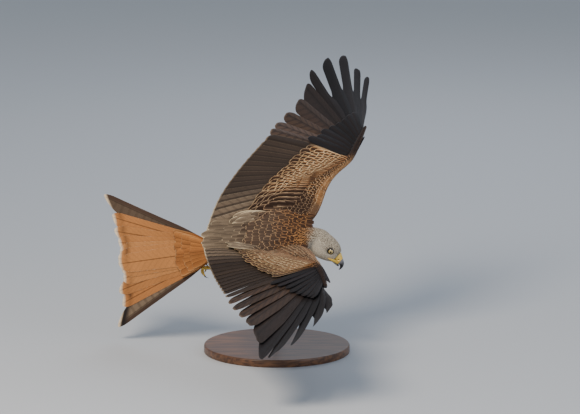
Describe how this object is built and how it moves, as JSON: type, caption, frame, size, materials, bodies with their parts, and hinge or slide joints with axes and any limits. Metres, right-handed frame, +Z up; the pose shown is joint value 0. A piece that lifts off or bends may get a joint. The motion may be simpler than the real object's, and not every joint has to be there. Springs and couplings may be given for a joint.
{
  "type": "red kite bird model",
  "caption": "Life-size red kite in banking flight, wings spread and forked tail fanned, held by a rod on a round wooden display base.",
  "frame": {"origin": "centre of the underside of the display base", "axes": "+X the way the bird flies in the picture, +Y away from the picture's viewer, +Z up"},
  "size_m": [0.6989, 1.2032, 0.6904],
  "materials": {
    "back_feathers": "dark brown vanes with rufous fringes",
    "head_feathers": "pale grey with fine dark streaks",
    "neck_feathers": "rufous with black streaks",
    "flight_feathers": "smooth blackish vanes",
    "wing_feathers": "tawny coverts over dark brown secondaries",
    "tail_feathers": "rufous orange vanes with pale tips",
    "thigh_feathers": "loose rufous trousers",
    "yellow_skin": "scaly yellow skin",
    "dark_horn": "smooth dark horn",
    "eye": "wet pale yellow iris",
    "walnut": "satin walnut",
    "steel": "satin rod"
  },
  "bodies": {
    "root": {"torso": "back_feathers", "neck": "neck_feathers", "head": "head_feathers", "cere": "yellow_skin", "bill_upper": "dark_horn", "bill_lower": "dark_horn", "eye_left": "eye", "eye_right": "eye", "wing_left_arm": "wing_feathers", "wing_left_hand": "flight_feathers", "wing_right_arm": "wing_feathers", "wing_right_hand": "flight_feathers", "tail": "tail_feathers", "leg_left": "thigh_feathers", "leg_right": "thigh_feathers", "foot_left": "yellow_skin", "foot_right": "yellow_skin", "claw_left_inner": "dark_horn", "claw_left_middle": "dark_horn", "claw_left_outer": "dark_horn", "claw_left_hind": "dark_horn", "claw_right_inner": "dark_horn", "claw_right_middle": "dark_horn", "claw_right_outer": "dark_horn", "claw_right_hind": "dark_horn", "stand_base": "walnut", "stand_rod": "steel"}
  },
  "joints": []
}
